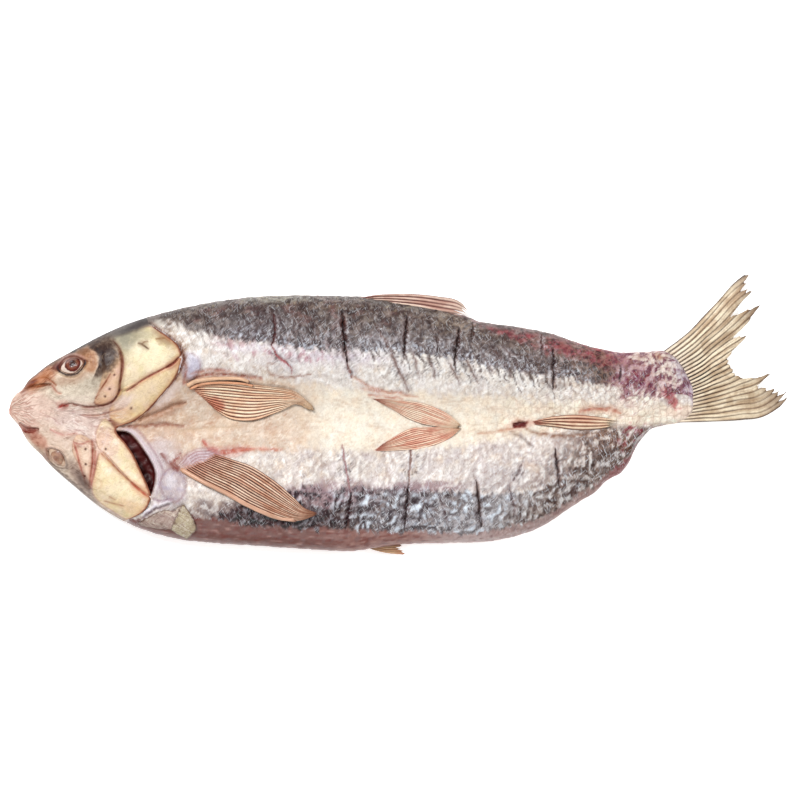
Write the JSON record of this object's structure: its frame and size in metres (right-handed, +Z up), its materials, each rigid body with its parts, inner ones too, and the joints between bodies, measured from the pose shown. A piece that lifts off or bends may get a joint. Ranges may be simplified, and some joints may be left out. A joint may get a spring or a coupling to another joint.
{
  "type": "salted dried carp",
  "caption": "Whole dried carp split along the back and opened flat, skin side up, with head halves, gill covers, fins and torn tail.",
  "frame": {"origin": "middle of the bounding box's footprint, on the table", "axes": "+X from the snout to the tail, +Y to the half that keeps the tail, +Z up through the skin side"},
  "size_m": [0.6, 0.218, 0.0361],
  "materials": {
    "skin": "dried silvery skin with a dark back, a cream belly and tan fins, satin",
    "eye": "dark brown dried lens, glossy"
  },
  "bodies": {
    "root": {"carp": "skin", "eye_upper": "eye", "eye_lower": "eye"}
  },
  "joints": []
}
